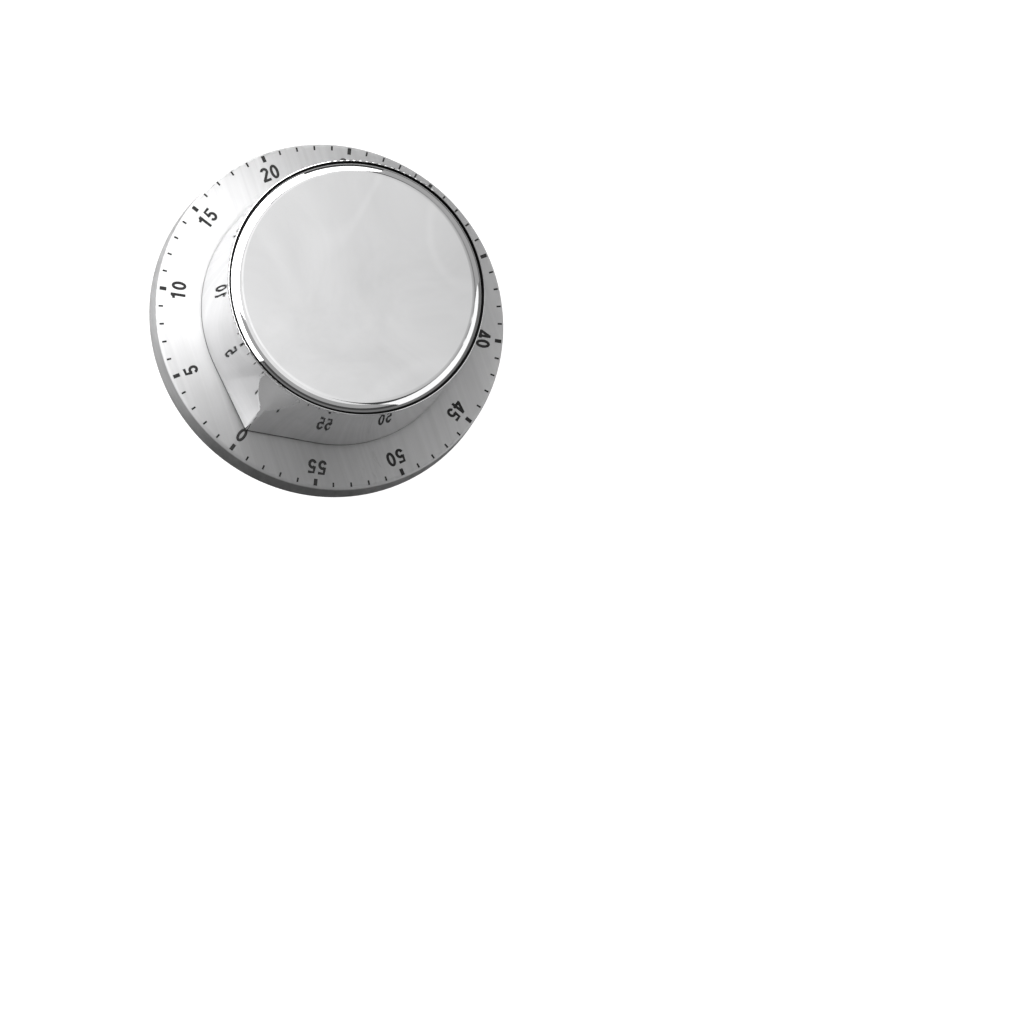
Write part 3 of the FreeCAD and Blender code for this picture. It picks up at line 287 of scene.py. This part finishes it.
finishes = {
    "satin_steel": satinSteel(),
    "polished_steel": mirrorSteel("mirrorSteel"),
    "black_plastic": moulded("blackPlastic", (0.022, 0.022, 0.024, 1.0), 0.42, 0.6),
    "white_plastic": moulded("naturalPlastic", (0.74, 0.73, 0.69, 1.0), 0.4, 0.55),
    "rubber": moulded("footRubber", (0.018, 0.018, 0.018, 1.0), 0.7, 0.9, 900.0, 0.03 * mm),
    "ferrite": moulded("ferriteGrey", (0.055, 0.055, 0.06, 1.0), 0.45, 0.7, 2400.0, 0.015 * mm),
    "zinc_steel": machined("zincSteel", (0.66, 0.68, 0.70, 1.0), 0.25, 0.42),
    "hard_steel": machined("hardSteel", (0.52, 0.53, 0.55, 1.0), 0.2, 0.34, 0.8),
    "spring_steel": machined("blueSteel", (0.16, 0.20, 0.34, 1.0), 0.22, 0.36, 0.3),
    "brass": machined("brass", (0.80, 0.60, 0.26, 1.0), 0.24, 0.4, 1.1),
    "bell_steel": machined("bellSteel", (0.74, 0.74, 0.76, 1.0), 0.1, 0.22, 0.0),
}
for part in frame["record"]["subparts"]:
    node = frame["nodes"][part["node"]]
    node.data.materials.clear()
    node.data.materials.append(finishes[part["material_slot"]])
knobNode = frame["nodes"]["knob_body"]
# the knob body: painted shadow along its foot and inside the groove round the cap
knobNode.data.materials[0] = mirrorSteel("knobSteel", knobFoot, capEdge + mirror["grooveWidth"], -1.0)
capNode = frame["nodes"]["knob_cap"]
# the cap: painted shadow on its outer rim next to the groove
capNode.data.materials[0] = mirrorSteel("capSteel", None, capEdge)
print("finishes on the parts")


ink = printInk()
prints = dict(rise=0.03 * mm, outer=38.95 * mm, minorLength=1.0 * mm, minorWidth=0.40 * mm,
              majorLength=1.5 * mm, majorWidth=0.82 * mm, numberRadius=34.75 * mm,
              numberHeight=3.3 * mm, stroke=0.19, digitWidth=0.58, digitStep=0.69)


def finishPiece(mesh, name, body, paint):
    piece = bpy.data.objects.new(name, mesh)
    bpy.context.scene.collection.objects.link(piece)
    mesh.materials.clear()
    mesh.materials.append(paint)
    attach(piece, body)
    return piece


def atMinute(minute, radius, height):
    turn = Matrix.Rotation(-bearing(minute), 4, "Z")
    return turn @ Matrix.Translation((0.0, radius, height))


def minuteMarks():
    marks = bmesh.new()
    for minute in range(60):
        major = minute % 5 == 0
        length = prints["majorLength"] if major else prints["minorLength"]
        width = prints["majorWidth"] if major else prints["minorWidth"]
        made = bmesh.ops.create_cube(marks, size=1.0)
        place = atMinute(minute, prints["outer"] - length / 2, dialFace)
        shape = place @ Matrix.Diagonal((width, length, 2.0 * prints["rise"], 1.0))
        bmesh.ops.transform(marks, matrix=shape, verts=made["verts"])
    mesh = bpy.data.meshes.new("minute_marks")
    marks.to_mesh(mesh)
    marks.free()
    return finishPiece(mesh, "minute_marks", "base", ink)


def sweep(middle, reach, first, last, steps=14):
    # points round an oval, from one direction to another in degrees
    turns = [math.radians(first + (last - first) * k / steps) for k in range(steps + 1)]
    return [(middle[0] + reach[0] * math.cos(t), middle[1] + reach[1] * math.sin(t)) for t in turns]


def digitStrokes():
    # the middle line of each stroke, in a cell one unit high
    half = prints["stroke"] / 2
    right = prints["digitWidth"] - half
    centre = prints["digitWidth"] / 2
    side = centre - half
    top = 1.0 - half
    bowl = 0.28
    return {
        "0": [sweep((centre, 0.5), (side, 0.5 - half), 0, 360, 32)],
        "1": [[(0.36, 0.0), (0.36, 1.0)], [(0.09, 0.76), (0.22, 0.79), (0.34, 0.93)]],
        "2": [sweep((centre, top - side), (side, side), 165, -25) + [(half + 0.03, half + 0.04)],
              [(0.02, half), (right + half, half)]],
        "3": [sweep((centre - 0.01, top - 0.2), (side - 0.02, 0.2), 160, -85),
              sweep((centre, half + 0.225), (side, 0.225), 90, -160), [(0.22, 0.53), (0.32, 0.53)]],
        "4": [[(0.43, 0.0), (0.43, 1.0)], [(0.40, top), (half - 0.02, bowl)], [(0.0, bowl), (0.6, bowl)]],
        "5": [[(right + 0.05, top), (0.15, top), (half + 0.02, 0.47)],
              sweep((centre - 0.01, half + 0.24), (side, 0.24), 140, -165, 20)],
    }


def dialNumbers():
    line = bpy.data.curves.new("numbers", "CURVE")
    line.dimensions = "3D"
    line.bevel_depth = prints["stroke"] / 2
    line.bevel_resolution = 2
    line.use_fill_caps = True
    strokes = digitStrokes()
    joined = bmesh.new()
    for minute in range(0, 60, 5):
        number = str(minute)
        wide = prints["digitStep"] * (len(number) - 1) + prints["digitWidth"]
        line.splines.clear()
        for place, digit in enumerate(number):
            for points in strokes[digit]:
                closed = digit == "0"
                if closed:
                    points = points[:-1]
                spline = line.splines.new("POLY")
                spline.points.add(len(points) - 1)
                spline.use_cyclic_u = closed
                for point, (x, y) in zip(spline.points, points):
                    point.co = (x + prints["digitStep"] * place - wide / 2, y - 0.5, 0.0, 1.0)
        holder = bpy.data.objects.new("numbers", line)
        flat = bpy.data.meshes.new_from_object(holder)
        bpy.data.objects.remove(holder)
        size = prints["numberHeight"]
        sized = Matrix.Diagonal((size, size, 2.0 * prints["rise"] / prints["stroke"], 1.0))
        flat.transform(atMinute(minute, prints["numberRadius"], dialFace) @ sized)
        joined.from_mesh(flat)
        bpy.data.meshes.remove(flat)
    bpy.data.curves.remove(line)
    bmesh.ops.recalc_face_normals(joined, faces=joined.faces[:])
    mesh = bpy.data.meshes.new("dial_numbers")
    joined.to_mesh(mesh)
    joined.free()
    return finishPiece(mesh, "dial_numbers", "base", ink)


minuteMarks()
dialNumbers()
print("dial printed")


room = dict(floorSize=6.0, floorTone=0.20, floorGlow=1.0, worldTone=0.07, domeRadius=0.6,
            brightSide=9.1)


def layFloor():
    ground = bmesh.new()
    bmesh.ops.create_grid(ground, x_segments=1, y_segments=1, size=room["floorSize"] / 2)
    mesh = bpy.data.meshes.new("floor")
    ground.to_mesh(mesh)
    ground.free()
    floor = bpy.data.objects.new("floor", mesh)
    bpy.context.scene.collection.objects.link(floor)
    finish = Finish("paleFloor", Base_Color=grey(room["floorTone"]), Roughness=0.9,
                    Emission_Strength=room["floorGlow"])
    straight = finish.add("ShaderNodeLightPath")  # the sweep glows, but does not light the metal
    finish.paint(Emission_Color=finish.blend(straight, grey(0.0), grey(1.0)))
    mesh.materials.append(finish.material)
    return floor


def softPanel(name, minutes, tilts, glow, fade=0.0, lean=(0.0, 0.0)):
    # a patch of a lit dome over the dial: the minutes that it spans, and its tilts down
    # from a pole that leans by lean[1] degrees towards the minute lean[0];
    # fade makes it brighter towards the left side and darker towards the right
    first, last = (bearing(minute) for minute in minutes)
    top, bottom = (math.radians(t) for t in tilts)
    sheet = bmesh.new()
    bmesh.ops.create_grid(sheet, x_segments=24, y_segments=10, size=0.5)
    for corner in sheet.verts:
        turn = first + (last - first) * (corner.co.x + 0.5)
        tilt = top + (bottom - top) * (corner.co.y + 0.5)
        across = room["domeRadius"] * math.sin(tilt)
        height = room["domeRadius"] * math.cos(tilt)
        corner.co = (across * math.sin(turn), across * math.cos(turn), height)
    leaning = Matrix.Rotation(-bearing(lean[0]), 4, "Z")
    leaning = leaning @ Matrix.Rotation(-math.radians(lean[1]), 4, "X") @ leaning.inverted()
    place = Matrix.Translation((0.0, 0.0, dialFace)) @ leaning
    bmesh.ops.transform(sheet, matrix=place, verts=sheet.verts)
    bmesh.ops.remove_doubles(sheet, verts=sheet.verts, dist=0.1 * mm)
    mesh = bpy.data.meshes.new(name)
    sheet.to_mesh(mesh)
    sheet.free()
    panel = bpy.data.objects.new(name, mesh)
    bpy.context.scene.collection.objects.link(panel)
    finish = Finish(name, "ShaderNodeEmission", Strength=1.0)
    along = finish.place(turn=bearing(room["brightSide"]))
    along = finish.add("ShaderNodeSeparateXYZ", {}, {0: along}, 1) / room["domeRadius"]
    bright = glow + along * glow * fade
    finish.paint(Color=finish.add("ShaderNodeCombineColor", {}, {0: bright, 1: bright, 2: bright}))
    mesh.materials.append(finish.material)
    panel.visible_camera = False
    return panel


layFloor()
softPanel("sideLight", (9.0, 22.5), (27.0, 82.0), 5.6)
softPanel("nearSideLight", (3.0, 9.0), (52.0, 84.0), 4.2)
softPanel("farSideLight", (22.5, 27.5), (30.0, 70.0), 2.6)
softPanel("topLight", (0.0, 60.0), (0.0, 22.0), 1.15, 1.25, (33.0, 20.0))
softPanel("farLight", (27.5, 36.0), (44.0, 86.0), 0.45)
softPanel("rightLight", (36.0, 48.0), (32.0, 68.0), 1.25)
softPanel("nearLight", (48.0, 69.0), (27.0, 52.0), 0.42)
softPanel("fillLight", (48.0, 82.5), (0.0, 27.0), 0.95)
softPanel("lowLight", (36.0, 63.0), (68.0, 88.0), 0.2)

world = bpy.data.worlds.new("studio")
world.use_nodes = True
bpy.context.scene.world = world
world.node_tree.nodes["Background"].inputs["Color"].default_value = grey(room["worldTone"])

lens = dict(focal=116.47, place=(18.558 * mm, 237.242 * mm, 705.337 * mm),
            aim=(-58.178 * mm, 10.894 * mm, 7.2 * mm), roll=55.371)


def setCamera():
    view = bpy.data.cameras.new("camera")
    view.lens = lens["focal"]
    view.sensor_width = 36.0
    view.clip_start = 0.05
    view.clip_end = 20.0
    camera = bpy.data.objects.new("camera", view)
    bpy.context.scene.collection.objects.link(camera)
    sight = Vector(lens["aim"]) - Vector(lens["place"])
    turn = sight.to_track_quat("-Z", "Y").to_matrix().to_4x4()
    turn = turn @ Matrix.Rotation(math.radians(lens["roll"]), 4, "Z")
    camera.matrix_world = Matrix.Translation(lens["place"]) @ turn
    bpy.context.scene.camera = camera


setCamera()
bpy.context.scene.view_settings.view_transform = "Standard"
print("studio set")
